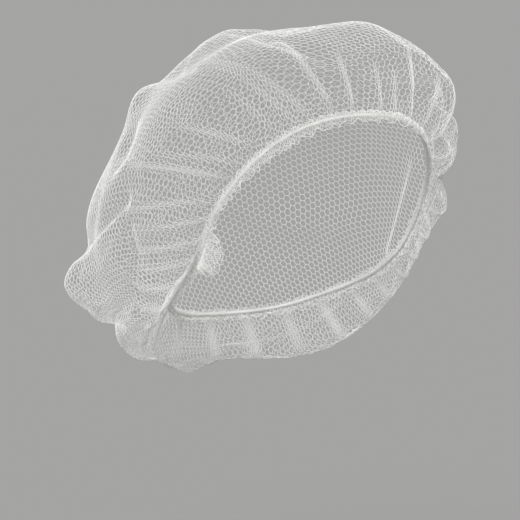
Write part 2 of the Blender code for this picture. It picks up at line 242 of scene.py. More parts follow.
# A pleat takes up the cloth's spare width. It climbs from the rim at one turn to its end at another.
# Fullness is how much more cloth lies in it than beside it, and width a share of PLEAT_WIDTH. It draws its
# cloth in from as far as PLEAT_REACH to each side. Both are in degrees of turn. A pleat of the fullness
# FULL_PLEAT stands out by half of GATHER_DEPTH. SPARE_CLOTH is the most that pleats take up at the rim, as a
# share of the cloth beside them, and it fades over a climb of SPARE_CLIMB.
PLEAT_WIDTH = 1.2
PLEAT_REACH = 12.0
SPARE_CLOTH = 2.4
SPARE_CLIMB = 0.38
FULL_PLEAT = 5
Pleat = namedtuple("Pleat", "turn end_turn end_climb fullness width")
PLEATS = (
    Pleat(0, 359, 0.22, 14, 0.8),
    Pleat(6, 4, 0.22, 14, 0.8),
    Pleat(13, 21, 0.36, 19, 0.9),
    Pleat(20, 48, 0.54, 16, 1.2),
    Pleat(25, 45, 0.44, 13, 1.2),
    Pleat(31, 43, 0.26, 8, 1.2),
    Pleat(38, 62, 0.26, 11, 1.2),
    Pleat(45, 76, 0.28, 11, 1.2),
    Pleat(52, 90, 0.38, 16, 1.1),
    Pleat(61, 94, 0.26, 13, 1.1),
    Pleat(70, 97, 0.22, 13, 1.1),
    Pleat(80, 101, 0.20, 13, 1.1),
    Pleat(89, 105, 0.18, 11, 1.1),
    Pleat(98, 110, 0.17, 11, 1.1),
    Pleat(109, 116, 0.16, 10, 1.3),
    Pleat(121, 124, 0.14, 8, 1.5),
    Pleat(133, 134, 0.14, 8, 1.5),
    Pleat(147, 146, 0.13, 6, 1.6),
    Pleat(162, 160, 0.16, 8, 1.6),
    Pleat(176, 178, 0.15, 6, 1.6),
    Pleat(190, 193, 0.17, 8, 1.6),
    Pleat(204, 206, 0.14, 6, 1.5),
    Pleat(217, 221, 0.16, 8, 1.5),
    Pleat(231, 233, 0.14, 6, 1.4),
    Pleat(244, 242, 0.17, 8, 1.4),
    Pleat(257, 252, 0.16, 8, 1.3),
    Pleat(269, 260, 0.18, 8, 1.2),
    Pleat(281, 270, 0.20, 10, 1.2),
    Pleat(293, 281, 0.22, 10, 1.1),
    Pleat(304, 293, 0.24, 11, 1.0),
    Pleat(314, 304, 0.24, 13, 0.8),
    Pleat(323, 315, 0.26, 13, 0.8),
    Pleat(332, 326, 0.20, 8, 0.8),
    Pleat(340, 337, 0.26, 13, 0.6),
    Pleat(348, 345, 0.16, 6, 0.8),
    Pleat(355, 352, 0.18, 10, 0.6),
)

# Width is a share of FRILL_WIDTH, and pouch the share of POUCH_WIDTH that is added where the frill stands
# out. Lean is the share of POUCH_LEAN, in degrees of turn, by which it stands forward. Flare is the angle in
# degrees by which the frill leans out from the wearer.
FrillPoint = namedtuple("FrillPoint", "turn width pouch lean flare")
FRILL = (
    FrillPoint(0, 1.0, 0.00, 0.0, 20),
    FrillPoint(20, 1.6, 0.00, 0.0, 22),
    FrillPoint(35, 2.3, 0.00, 0.0, 24),
    FrillPoint(48, 1.8, 0.00, 0.0, 22),
    FrillPoint(62, 1.1, 0.00, 0.0, 18),
    FrillPoint(75, 0.9, 0.00, 0.1, 14),
    FrillPoint(80, 1.0, 0.50, 0.8, 12),
    FrillPoint(84, 1.0, 0.85, 1.0, 10),
    FrillPoint(88, 1.0, 0.95, 0.8, 8),
    FrillPoint(92, 1.0, 0.65, 0.4, 4),
    FrillPoint(96, 1.0, 0.20, 0.1, 0),
    FrillPoint(102, 0.9, 0.00, 0.0, -5),
    FrillPoint(150, 1.0, 0.00, 0.0, -15),
    FrillPoint(210, 1.2, 0.00, 0.0, -15),
    FrillPoint(270, 0.9, 0.00, 0.0, -5),
    FrillPoint(330, 1.2, 0.00, 0.0, 20),
)

# A panel of the net lies between two turns
Panel = namedtuple("Panel", "name start end")
PANELS = (
    Panel("crown_net_front", -45, 45),
    Panel("crown_net_right", 45, 125),
    Panel("crown_net_back_right", 125, 180),
    Panel("crown_net_back_left", 180, 235),
    Panel("crown_net_left", 235, 315),
)

# A lamp of the studio shines in a direction. Softness is the angle in degrees that it fills.
Lamp = namedtuple("Lamp", "name towards softness strength")
LAMPS = (
    Lamp("key", (0.75, 0.75, -0.75), 30, 3.2),
    Lamp("fill", (-0.9, 0.5, -0.3), 60, 0.7),
    Lamp("rim", (-0.2, -1.0, -0.8), 40, 0.9),
)
FLOOR_SPAN = 200.0
SENSOR_WIDTH = 36


def mirrored(half):
    """The rim's rows for both sides, from those of the wearer's right."""
    left = [row._replace(turn=360 - row.turn) for row in half if 0 < row.turn < 180]
    return list(half) + left[::-1]


def hermite(start, end, start_slope, end_slope, t):
    """The cubic between two values whose slopes are given per unit of t."""
    return (
        (2 * t**3 - 3 * t**2 + 1) * start
        + (t**3 - 2 * t**2 + t) * start_slope
        + (3 * t**2 - 2 * t**3) * end
        + (t**3 - t**2) * end_slope
    )


def read_round(rows, column, turn):
    """One column of a table at any turn, as a smooth curve that closes after 360 degrees."""
    turns = np.array([row.turn for row in rows], float)
    values = np.array([getattr(row, column) for row in rows], float)
    turns = np.concatenate([turns[-2:] - 360, turns, turns[:3] + 360])
    values = np.concatenate([values[-2:], values, values[:3]])
    slopes = (values[2:] - values[:-2]) / (turns[2:] - turns[:-2])
    turn = turn % 360
    at = np.searchsorted(turns, turn, side="right") - 1
    span = turns[at + 1] - turns[at]
    t = (turn - turns[at]) / span
    return hermite(values[at], values[at + 1], slopes[at - 1] * span, slopes[at] * span, t)


def rim_point(turn):
    """(reach, height) of the elastic's middle at a turn."""
    rows = mirrored(RIM_HALF)
    angle = np.radians(turn)
    oval = 1 / np.hypot(np.cos(angle) / (RIM_LENGTH / 2), np.sin(angle) / (RIM_WIDTH / 2))
    return np.array([oval * read_round(rows, "reach", turn), -RIM_SAG * read_round(rows, "sag", turn)])


def smooth_path(points, first_direction):
    """A curve through (reach, height) points that starts in a direction and ends level on the axis."""
    points = np.array(points)
    chords = np.linalg.norm(np.diff(points, axis=0), axis=1)
    mirror = points[-2] * (-1, 1)
    ahead = np.vstack([points[1:], mirror])
    behind = np.vstack([points[:1], points[:-1]])
    slopes = (ahead - behind) / (np.append(chords, chords[-1]) + np.insert(chords, 0, 0))[:, None]
    slopes[0] = first_direction
    t = np.linspace(0, 1, CURVE_STEPS, endpoint=False)[:, None]
    pieces = [
        hermite(points[k], points[k + 1], slopes[k] * chords[k], slopes[k + 1] * chords[k], t)
        for k in range(len(chords))
    ]
    return np.vstack([*pieces, points[-1:]])


def evenly(path, count):
    """The same path as a number of evenly spaced points."""
    walked = np.concatenate([[0], np.cumsum(np.linalg.norm(np.diff(path, axis=0), axis=1))])
    steps = np.linspace(0, walked[-1], count)
    return np.stack([np.interp(steps, walked, path[:, axis]) for axis in range(path.shape[1])], 1)


def bag_section(turn, rows):
    """(reach, height) points of the net at a turn, from the elastic to the pole."""
    share = {name: read_round(SECTIONS, name, turn) for name in Section._fields[1:]}
    leave = np.radians(share["leave"])
    direction = np.array([np.cos(leave), np.sin(leave)])
    rim = rim_point(turn)
    puffed = [
        (rim[0] + BAG_PUFF * share[name], BAG_HEIGHT * share[name + "_rise"])
        for name in ("lip", "low", "high")
    ]
    closing = [
        (rim[0] * share[name], BAG_HEIGHT * share[name + "_rise"])
        for name in ("shoulder", "crown")
    ]
    start = rim + direction * np.hypot(*(np.array([ELASTIC_THICKNESS, ELASTIC_WIDTH]) / 2 * direction))
    return evenly(smooth_path([start, *puffed, *closing, (0, BAG_HEIGHT)], direction), rows)


def placed(turn, reach, height):
    """The point at a turn, reach and height, in the frame's own axes."""
    angle = np.radians(turn)
    forward = reach * np.cos(angle)
    return np.stack(
        [
            -reach * np.sin(angle),
            height * np.sin(RIM_SLANT) - forward * np.cos(RIM_SLANT) - RIM_AHEAD,
            height * np.cos(RIM_SLANT) + forward * np.sin(RIM_SLANT) - RIM_DROP,
        ],
        -1,
    )


def turn_of(points):
    """The turn of each point of the frame, from 0 to 360."""
    y, z = points[:, 1] + RIM_AHEAD, points[:, 2] + RIM_DROP
    forward = z * np.sin(RIM_SLANT) - y * np.cos(RIM_SLANT)
    return np.degrees(np.arctan2(-points[:, 0], forward)) % 360


def outward(grid):
    """Unit normals of a grid of rows by columns that closes round its columns."""
    along = np.gradient(grid, axis=0)
    across = np.roll(grid, -1, axis=1) - np.roll(grid, 1, axis=1)
    normals = np.cross(along, across)
    return normals / np.maximum(np.linalg.norm(normals, axis=2, keepdims=True), 1e-9)


def point_on(grid, turn, climb):
    """A point of the grid at a turn and a climb, between its nearest rows and columns."""
    row = climb * (len(grid) - 1)
    column = turn / 360 * grid.shape[1]
    low, left = int(row), int(column)
    up, right = min(low + 1, len(grid) - 1), left + 1
    left, right = left % grid.shape[1], right % grid.shape[1]
    lower = grid[low, left] * (1 - column % 1) + grid[low, right] * (column % 1)
    upper = grid[up, left] * (1 - column % 1) + grid[up, right] * (column % 1)
    return lower * (1 - row % 1) + upper * (row % 1)


def fold_press(grid, fold):
    """How far one fold presses each point of the grid inward."""
    shares = np.linspace(0, 1, FOLD_STEPS)
    turns = fold.turn + (fold.end_turn - fold.turn) * shares
    climbs = fold.climb + (fold.end_climb - fold.climb) * shares
    nearest = np.full(grid.shape[:2], np.inf)
    for turn, climb in zip(turns, climbs):
        nearest = np.minimum(nearest, np.linalg.norm(grid - point_on(grid, turn, climb), axis=2))
    return FOLD_DEPTH * fold.press * np.exp(-((nearest / (FOLD_WIDTH * fold.spread)) ** 2))


def pleat_ridges(turns, climbs):
    """How much more cloth lies in the pleats at each climb and turn, and how much beside them is drawn in."""
    ridges = np.zeros((len(climbs), len(turns)))
    drawn = np.zeros_like(ridges)
    for pleat in PLEATS:
        way = np.minimum(climbs / pleat.end_climb, 1)[:, None]
        centre = pleat.turn + (pleat.end_turn - pleat.turn) * way
        aside = (turns - centre + 180) % 360 - 180
        width = PLEAT_WIDTH * pleat.width
        fullness = pleat.fullness * np.sqrt(1 - way)
        ridges += fullness * np.exp(-((aside / width) ** 2))
        drawn += fullness * width / PLEAT_REACH * np.exp(-((aside / PLEAT_REACH) ** 2))
    # The pleats can't take up more than the cloth's spare width
    spare = SPARE_CLOTH * np.exp(-climbs / SPARE_CLIMB)[:, None]
    held = spare / np.maximum(drawn, spare)
    return ridges * held, drawn * held


def ripples_of(turns, from_rim):
    """Fine ripples between the pleats, close to the rim."""
    waves = np.cos(np.radians(turns) * RIPPLES_A_GATHER * GATHER_COUNT)
    return waves * np.exp(-from_rim / RIPPLE_FADE)


def cloth_turns(turns, ridges, drawn, ripples, from_rim):
    """The turn on the flat cloth of each point of the bag. The cloth's spare width lies in the pleats.

    Close to the rim the cloth between the pleats is crowded too.
    """
    crowd = CROWD_SHARE * np.exp(-from_rim / CROWD_FADE)
    density = (1 + ridges * (1 - crowd) + drawn * crowd) / (1 + drawn) + RIPPLE_CLOTH * ripples
    summed = np.cumsum(density, axis=1) - density / 2
    shift = 360 * summed / density.sum(axis=1, keepdims=True) - turns
    return turns + shift - shift.mean(axis=1, keepdims=True)


def cloth_places(turns, walked):
    """Where each point of the bag lies on the flat cloth, with the pole at its middle."""
    angle = np.radians(turns)
    return np.stack([-walked * np.sin(angle), -walked * np.cos(angle)], -1)


def bag_sheet():
    """(points, cloth) of the worn net in rows from the elastic to the pole: where they are, and lie flat."""
    turns = np.arange(SHEET_COLUMNS) * 360 / SHEET_COLUMNS
    sections = np.array([bag_section(turn, SHEET_ROWS) for turn in turns])
    grid = placed(turns, sections[:, :, 0].T, sections[:, :, 1].T)
    from_rim = np.linalg.norm(grid - grid[:1], axis=2)
    ridges, drawn = pleat_ridges(turns, np.linspace(0, 1, SHEET_ROWS))
    ripples = ripples_of(turns, from_rim)
    gathers = GATHER_DEPTH * (ridges / FULL_PLEAT - 0.5) * np.exp(-from_rim / GATHER_FADE)
    gathers = gathers + RIPPLE_DEPTH * ripples
    pressed = sum(fold_press(grid, fold) for fold in FOLDS)
    held = np.exp(-((from_rim / RIM_HOLD) ** 2))
    steps = np.linalg.norm(np.diff(grid, axis=0), axis=2)
    walked = np.concatenate([np.cumsum(steps[::-1], axis=0)[::-1], np.zeros((1, len(turns)))])
    grid = grid + outward(grid) * ((gathers - pressed) * (1 - held))[:, :, None]
    # The net's edge runs on into the elastic
    inside = placed(turns, *rim_point(turns))
    edge = walked[0] + np.linalg.norm(grid[0] - inside, axis=1)
    grid = np.concatenate([inside[None], grid])
    walked = np.concatenate([edge[None], walked])
    shifted = cloth_turns(turns, ridges, drawn, ripples, from_rim)
    return grid, cloth_places(np.concatenate([shifted[:1], shifted]), walked)


def pucker(turn):
    """How far the gathered hem swells or sinks at a turn, from -1 to 1, uneven as gathers are."""
    angle = np.radians(turn)
    return sum(
        wave.share * np.cos(wave.count * angle + wave.shift + np.sin(wave.wander * angle))
        for wave in PUCKER_WAVES
    )


def hem_sheet():
    """(points, cloth) of the net's edge, rolled round the elastic's outside and out into the frill."""
    turns = np.linspace(180, 540, HEM_COLUMNS + 1)
    reach, height = rim_point(turns)
    gathered = pucker(turns)
    swell = 1 + HEM_SWELL * gathered
    wrap = np.radians(np.linspace(*HEM_WRAP, HEM_WRAP_ROWS))[:, None]
    puckers = np.radians(turns) * PUCKERS_A_GATHER * GATHER_COUNT + 2 * gathered + wrap
    lift = HEM_LIFT + HEM_PUCKER * (1 + np.cos(puckers))
    out = reach + (ELASTIC_THICKNESS / 2 * swell + lift) * np.cos(wrap)
    up = height + (ELASTIC_WIDTH / 2 * swell + lift) * np.sin(wrap)
    shares = np.linspace(0, 1, HEM_FRILL_ROWS + 1)[1:, None]
    flare = np.radians(read_round(FRILL, "flare", turns))
    pouch = np.maximum(read_round(FRILL, "pouch", turns), 0)
    waver = 1.0 + FRILL_WAVER * pucker(2 * turns)
    width = FRILL_WIDTH * read_round(FRILL, "width", turns) * waver + POUCH_WIDTH * pouch
    ripples = np.cos(np.radians(turns) * RIPPLES_A_GATHER * GATHER_COUNT + 2 * gathered)
    ripples = FRILL_RIPPLE * ripples * (1 - POUCH_CALM * pouch)
    bulge = ripples * shares + POUCH_BULGE * pouch * np.sin(np.pi * shares)
    lean = POUCH_LEAN * np.maximum(read_round(FRILL, "lean", turns), 0)
    frill = placed(
        turns - lean * shares,
        out[-1] + shares * width * np.sin(flare) + bulge * np.cos(flare),
        up[-1] - shares * width * np.cos(flare) + bulge * np.sin(flare),
    )
    grid = np.concatenate([placed(turns, out, up), frill])
    walked = np.cumsum(np.linalg.norm(np.diff(grid, axis=0), axis=2), axis=0)
    walked = np.concatenate([np.zeros((1, len(turns))), walked])
    along = np.broadcast_to((turns - 360) / 360 * HEM_CLOTH, walked.shape)
    return grid, np.stack([along, walked], -1)


def elastic_core():
    """Points of the elastic itself: rings of an oval tube that swells with the gathers."""
    turns = np.arange(HEM_COLUMNS // 2) * 720 / HEM_COLUMNS
    around = np.arange(CORE_SIDES)[:, None] * 2 * np.pi / CORE_SIDES
    reach, height = rim_point(turns)
    swell = CORE_SHARE * (1 + HEM_SWELL * pucker(turns))
    out = reach + np.cos(around) * swell * ELASTIC_THICKNESS / 2
    up = height + np.sin(around) * swell * ELASTIC_WIDTH / 2
    return placed(turns, out, up)


def new_object(name, data):
    """An object in the scene."""
    obj = bpy.data.objects.new(name, data)
    bpy.context.scene.collection.objects.link(obj)
    return obj


def sheet_object(name, grid, cloth, closed):
    """An object whose faces join a grid of points, with the flat cloth's places as its UV map."""
    rows, columns = grid.shape[:2]
    index = np.arange(rows * columns).reshape(rows, columns)
    low, up = index[:-1], index[1:]
    if closed:
        faces = np.stack([low, np.roll(low, -1, 1), np.roll(up, -1, 1), up], -1)
    else:
        faces = np.stack([low[:, :-1], low[:, 1:], up[:, 1:], up[:, :-1]], -1)
    faces = faces.reshape(-1, 4)
    mesh = bpy.data.meshes.new(name)
    mesh.from_pydata(grid.reshape(-1, 3), [], faces.tolist())
    places = cloth.reshape(-1, 2)[faces.reshape(-1)] / CLOTH_SPAN + 0.5
    mesh.uv_layers.new(name=CLOTH_MAP).data.foreach_set("uv", places.ravel())
    mesh.shade_smooth()
    return new_object(name, mesh)


def add_node(tree, kind, inputs=None, **settings):
    """A node of this kind, whose inputs are given values or joined to other sockets."""
    node = tree.nodes.new(kind)
    for name, value in settings.items():
        setattr(node, name, value)
    for key, value in (inputs or {}).items():
        if isinstance(value, bpy.types.NodeSocket):
            tree.links.new(value, node.inputs[key])
        else:
            node.inputs[key].default_value = value
    return node


def worked_out(tree, operation, first, second=0.0):
    """The result of a sum on numbers."""
    return add_node(tree, "ShaderNodeMath", {0: first, 1: second}, operation=operation).outputs[0]


def add_sockets(tree, in_out, kinds):
    """Gives a node tree sockets by their labels and kinds."""
    for label, kind in kinds.items():
        tree.interface.new_socket(label, in_out=in_out, socket_type="NodeSocket" + kind)


def new_tree(name, kinds):
    """A Geometry Nodes tree and its input node.

    Its inputs are geometry, what is asked for and a material, and its output is geometry.
    """
    tree = bpy.data.node_groups.new(name, "GeometryNodeTree")
    tree.is_modifier = True
    add_sockets(tree, "INPUT", {"Geometry": "Geometry", **kinds, "Material": "Material"})
    add_sockets(tree, "OUTPUT", {"Geometry": "Geometry"})
    return tree, tree.nodes.new("NodeGroupInput")


def finish_tree(tree, given, geometry):
    """Ends a tree in Realize Instances and Set Material."""
    real = add_node(tree, "GeometryNodeRealizeInstances", {"Geometry": geometry})
    dressed = add_node(
        tree,
        "GeometryNodeSetMaterial",
        {"Geometry": real.outputs[0], "Material": given.outputs["Material"]},
    )
    add_node(tree, "NodeGroupOutput", {0: dressed.outputs[0]})
    return tree


def hexagon_tree():
    """Lays a flat lattice of hexagons on a sheet by the sheet's own cloth map."""
    tree, given = new_tree(
        "Hexagonal Net",
        {
            "Width": "Float",
            "Length": "Float",
            "Cell Size": "Float",
            "Cell Stretch": "Float",
            "Lattice Turn": "Float",
            "Irregularity": "Float",
            "Seed": "Float",
        },
    )
    take = given.outputs
    step = worked_out(tree, "MULTIPLY", take["Cell Size"], np.sqrt(0.75))
    step = worked_out(tree, "MULTIPLY", step, take["Cell Stretch"])
    columns = worked_out(tree, "CEIL", worked_out(tree, "DIVIDE", take["Width"], step))
    rows = worked_out(tree, "CEIL", worked_out(tree, "DIVIDE", take["Length"], take["Cell Size"]))
    width = worked_out(tree, "MULTIPLY", columns, step)
    length = worked_out(tree, "MULTIPLY", rows, take["Cell Size"])
    grid = add_node(
        tree,
        "GeometryNodeMeshGrid",
        {
            "Size X": width,
            "Size Y": length,
            "Vertices X": worked_out(tree, "ADD", columns, 1.0),
            "Vertices Y": worked_out(tree, "ADD", rows, 1.0),
        },
    )
    place = add_node(tree, "GeometryNodeInputPosition").outputs[0]
    split = add_node(tree, "ShaderNodeSeparateXYZ", {0: place}).outputs
    from_side = worked_out(tree, "ADD", split["X"], worked_out(tree, "MULTIPLY", width, 0.5))
    across = worked_out(tree, "DIVIDE", from_side, step)
    odd = worked_out(tree, "MODULO", worked_out(tree, "ROUND", across), 2.0)
    lift = worked_out(tree, "MULTIPLY", odd, worked_out(tree, "MULTIPLY", take["Cell Size"], 0.5))
    staggered = add_node(
        tree,
        "GeometryNodeSetPosition",
        {
            "Geometry": grid.outputs[0],
            "Offset": add_node(tree, "ShaderNodeCombineXYZ", {"Y": lift}).outputs[0],
        },
    )
    triangles = add_node(
        tree, "GeometryNodeTriangulate", {"Mesh": staggered.outputs[0]}, quad_method="SHORTEST_DIAGONAL"
    )
    hexagons = add_node(tree, "GeometryNodeDualMesh", {"Mesh": triangles.outputs[0]})
    # Each knot of the net strays a little from its place
    noise = add_node(
        tree,
        "ShaderNodeTexNoise",
        {"Vector": place, "W": take["Seed"], "Scale": KNOT_NOISE, "Detail": 1.0},
        noise_dimensions="4D",
    )
    stray = add_node(
        tree, "ShaderNodeVectorMath", {0: noise.outputs["Color"], 1: (0.5, 0.5, 0.5)}, operation="SUBTRACT"
    )
    stray = add_node(
        tree,
        "ShaderNodeVectorMath",
        {0: stray.outputs[0], "Scale": worked_out(tree, "MULTIPLY", take["Irregularity"], NOISE_RANGE)},
        operation="SCALE",
    )
    turned = add_node(
        tree,
        "ShaderNodeVectorRotate",
        {
            "Vector": add_node(tree, "ShaderNodeVectorMath", {0: place, 1: stray.outputs[0]}).outputs[0],
            "Angle": take["Lattice Turn"],
        },
        rotation_type="Z_AXIS",
    )
    flat = add_node(
        tree,
        "GeometryNodeSetPosition",
        {"Geometry": hexagons.outputs[0], "Position": turned.outputs[0]},
    )
    on_map = add_node(
        tree,
        "ShaderNodeVectorMath",
        {0: place, 1: (1 / CLOTH_SPAN, 1 / CLOTH_SPAN, 0), 2: (0.5, 0.5, 0)},
        operation="MULTIPLY_ADD",
    )
    worn = add_node(
        tree,
        "GeometryNodeSampleUVSurface",
        {
            "Mesh": take["Geometry"],
            "Value": place,
            "Source UV Map": add_node(
                tree, "GeometryNodeInputNamedAttribute", {"Name": CLOTH_MAP}, data_type="FLOAT_VECTOR"
            ).outputs[0],
            "Sample UV": on_map.outputs[0],
        },
        data_type="FLOAT_VECTOR",
    )
    chosen = add_node(
        tree,
        "GeometryNodeSwitch",
        {
            "Switch": worn.outputs["Is Valid"],
            "False": (0.0, 0.0, OFF_CLOTH),
            "True": worn.outputs["Value"],
        },
        input_type="VECTOR",
    )
    laid = add_node(
        tree, "GeometryNodeSetPosition", {"Geometry": flat.outputs[0], "Position": chosen.outputs[0]}
    )
    height = add_node(tree, "ShaderNodeSeparateXYZ", {0: place}).outputs["Z"]
    kept = add_node(
        tree,
        "GeometryNodeDeleteGeometry",
        {
            "Geometry": laid.outputs[0],
            "Selection": worked_out(tree, "GREATER_THAN", height, OFF_CLOTH / 2),
        },
    )
    return finish_tree(tree, given, kept.outputs[0])


def cloth_map_tree():
    """Gives the finished threads the cloth map of the sheet that they lie on."""
    tree, given = new_tree("Cloth Map", {"Sheet": "Object"})
    sheet = add_node(tree, "GeometryNodeObjectInfo", {"Object": given.outputs["Sheet"]})
    named = add_node(tree, "GeometryNodeInputNamedAttribute", {"Name": CLOTH_MAP}, data_type="FLOAT_VECTOR")
    nearest = add_node(
        tree,
        "GeometryNodeSampleNearestSurface",
        {"Mesh": sheet.outputs["Geometry"], "Value": named.outputs[0]},
        data_type="FLOAT_VECTOR",
    )
    stored = add_node(
        tree,
        "GeometryNodeStoreNamedAttribute",
        {"Geometry": given.outputs["Geometry"], "Name": CLOTH_MAP, "Value": nearest.outputs["Value"]},
        data_type="FLOAT2",
        domain="CORNER",
    )
    return finish_tree(tree, given, stored.outputs[0])


def add_modifier(obj, tree, values):
    """A Geometry Nodes modifier with its inputs set by their sockets' identifiers."""
    modifier = obj.modifiers.new(tree.name, "NODES")
    modifier.node_group = tree
    inputs = [item for item in tree.interface.items_tree if item.in_out == "INPUT"]
    identifiers = {item.name: item.identifier for item in inputs}
    for label, value in values.items():
        modifier[identifiers[label]] = value
    return modifier


def as_plain_mesh(obj):
    """The object's evaluated mesh, with nothing live left on it. The object goes."""
    graph = bpy.context.evaluated_depsgraph_get()
    mesh = bpy.data.meshes.new_from_object(obj.evaluated_get(graph), depsgraph=graph)
    bpy.data.objects.remove(obj, do_unlink=True)
    return mesh


def as_piece(obj, name):
    """A plain object in place of a live one."""
    mesh = as_plain_mesh(obj)
    mesh.name = name
    mesh.shade_smooth()
    return new_object(name, mesh)


def lattice_on(sheet, look, span, cell, turn, seed):
    """A plain mesh of flat hexagons, of so wide and long a cloth, laid on a sheet."""
    lattice = new_object("lattice", sheet.data)
    values = {
        "Width": span[0],
        "Length": span[1],
        "Cell Size": cell,
        "Cell Stretch": look.stretch,
        "Lattice Turn": turn,
        "Irregularity": look.irregularity,
        "Seed": seed,
    }
    add_modifier(lattice, hexagon_tree(), values)
    return as_plain_mesh(lattice)


def threads_of(name, lattice, sheet, thread, tree, material):
    """An object of threads that run along the edges of a lattice, with the sheet's cloth map."""
    wired = new_object(name, lattice)
    wire = wired.modifiers.new("Threads", "WIREFRAME")
    wire.thickness = thread
    wire.offset = 0
    wire.use_even_offset = False
    wire.use_boundary = True
    add_modifier(wired, tree, {"Sheet": sheet, "Material": material})
    return as_piece(wired, name)


def part_of(mesh, wanted):
    """A mesh made of the wanted faces of another."""
    corners = np.zeros(len(mesh.loops), int)
    mesh.loops.foreach_get("vertex_index", corners)
    totals = np.zeros(len(mesh.polygons), int)
    mesh.polygons.foreach_get("loop_total", totals)
    places = np.zeros(len(mesh.vertices) * 3)
    mesh.vertices.foreach_get("co", places)
    used, again = np.unique(corners[np.repeat(wanted, totals)], return_inverse=True)
    new = bpy.data.meshes.new("part")
    new.vertices.add(len(used))
    new.vertices.foreach_set("co", places.reshape(-1, 3)[used].ravel())
    new.loops.add(len(again))
    new.loops.foreach_set("vertex_index", again.ravel())
    new.polygons.add(int(wanted.sum()))
    new.polygons.foreach_set("loop_start", np.concatenate([[0], np.cumsum(totals[wanted])[:-1]]))
    new.update(calc_edges=True)
    return new


def face_turns(mesh):
    """The turn of each face of a mesh."""
    centres = np.zeros(len(mesh.polygons) * 3)
    mesh.polygons.foreach_get("center", centres)
    return turn_of(centres.reshape(-1, 3))


def loop_object(name, points, swell):
    """An object whose edges join points in a closed loop, with how much the hem swells at each."""
    count = len(points)
    mesh = bpy.data.meshes.new(name)
    mesh.from_pydata(points, [(k, (k + 1) % count) for k in range(count)], [])
    mesh.attributes.new("swell", "FLOAT", "POINT").data.foreach_set("value", swell)
    return new_object(name, mesh)


def add_circle(tree, sides, radius):
    """A node that makes a circle of straight sides."""
    sizes = {"Resolution": sides, "Radius": radius}
    return add_node(tree, "GeometryNodeCurvePrimitiveCircle", sizes, mode="RADIUS")


def add_thread(tree, path, thickness, sides):
    """Nodes that run a thread along the path that another node makes."""
    profile = add_circle(tree, sides, worked_out(tree, "MULTIPLY", thickness, 0.5))
    curves = {"Curve": path.outputs[0], "Profile Curve": profile.outputs[0]}
    return add_node(tree, "GeometryNodeCurveToMesh", curves)


def stitch_tree():
    """Sets rings of thread along a closed loop, which lean to one side and the other in turn."""
    tree, given = new_tree(
        "Overlock Stitches",
        {
            "Stitches": "Int",
            "Half Thickness": "Float",
            "Half Width": "Float",
            "Thread": "Float",
            "Slope": "Float",
            "Axis": "Vector",
        },
    )
    take = given.outputs
    path = add_node(tree, "GeometryNodeMeshToCurve", {"Mesh": take["Geometry"]})
    spaced = add_node(
        tree, "GeometryNodeResampleCurve", {"Curve": path.outputs[0], "Count": take["Stitches"]}, mode="COUNT"
    )
    circle = add_circle(tree, 8, 1.0)
    scale = add_node(
        tree, "ShaderNodeCombineXYZ", {"X": take["Half Thickness"], "Y": take["Half Width"], "Z": 1.0}
    )
    oval = add_node(
        tree, "GeometryNodeTransform", {"Geometry": circle.outputs[0], "Scale": scale.outputs[0]}
    )
    ring = add_thread(tree, oval, take["Thread"], 3)
    index = add_node(tree, "GeometryNodeInputIndex").outputs[0]
    side = worked_out(tree, "SUBTRACT", worked_out(tree, "MODULO", index, 2.0), 0.5)
    lean = worked_out(tree, "MULTIPLY", side, take["Slope"])
    tangent = add_node(tree, "GeometryNodeInputTangent").outputs[0]
    leaning = add_node(tree, "ShaderNodeVectorMath", {0: take["Axis"], "Scale": lean}, operation="SCALE")
    facing = add_node(tree, "ShaderNodeVectorMath", {0: tangent, 1: leaning.outputs[0]}, operation="ADD")
    faced = add_node(tree, "FunctionNodeAlignRotationToVector", {"Vector": facing.outputs[0]}, axis="Z")
    turned = add_node(
        tree,
        "FunctionNodeAlignRotationToVector",
        {"Rotation": faced.outputs[0], "Vector": take["Axis"]},
        axis="Y",
        pivot_axis="Z",
    )
    swell = add_node(tree, "GeometryNodeInputNamedAttribute", {"Name": "swell"}, data_type="FLOAT")
    placed_rings = add_node(
        tree,
        "GeometryNodeInstanceOnPoints",
        {
            "Points": spaced.outputs[0],
            "Instance": ring.outputs[0],
            "Rotation": turned.outputs[0],
            "Scale": swell.outputs[0],
        },
    )
    return finish_tree(tree, given, placed_rings.outputs[0])


def edge_tree():
    """Runs a thread along a closed loop."""
    tree, given = new_tree("Edge Thread", {"Thread": "Float"})
    path = add_node(tree, "GeometryNodeMeshToCurve", {"Mesh": given.outputs["Geometry"]})
    thread = add_thread(tree, path, given.outputs["Thread"], 5)
    return finish_tree(tree, given, thread.outputs[0])


def along_loop(name, points, swell, tree, values):
    """An object that a tree makes along a closed loop, as a plain mesh."""
    loop = loop_object(name, points, swell)
    add_modifier(loop, tree, values)
    return as_piece(loop, name)


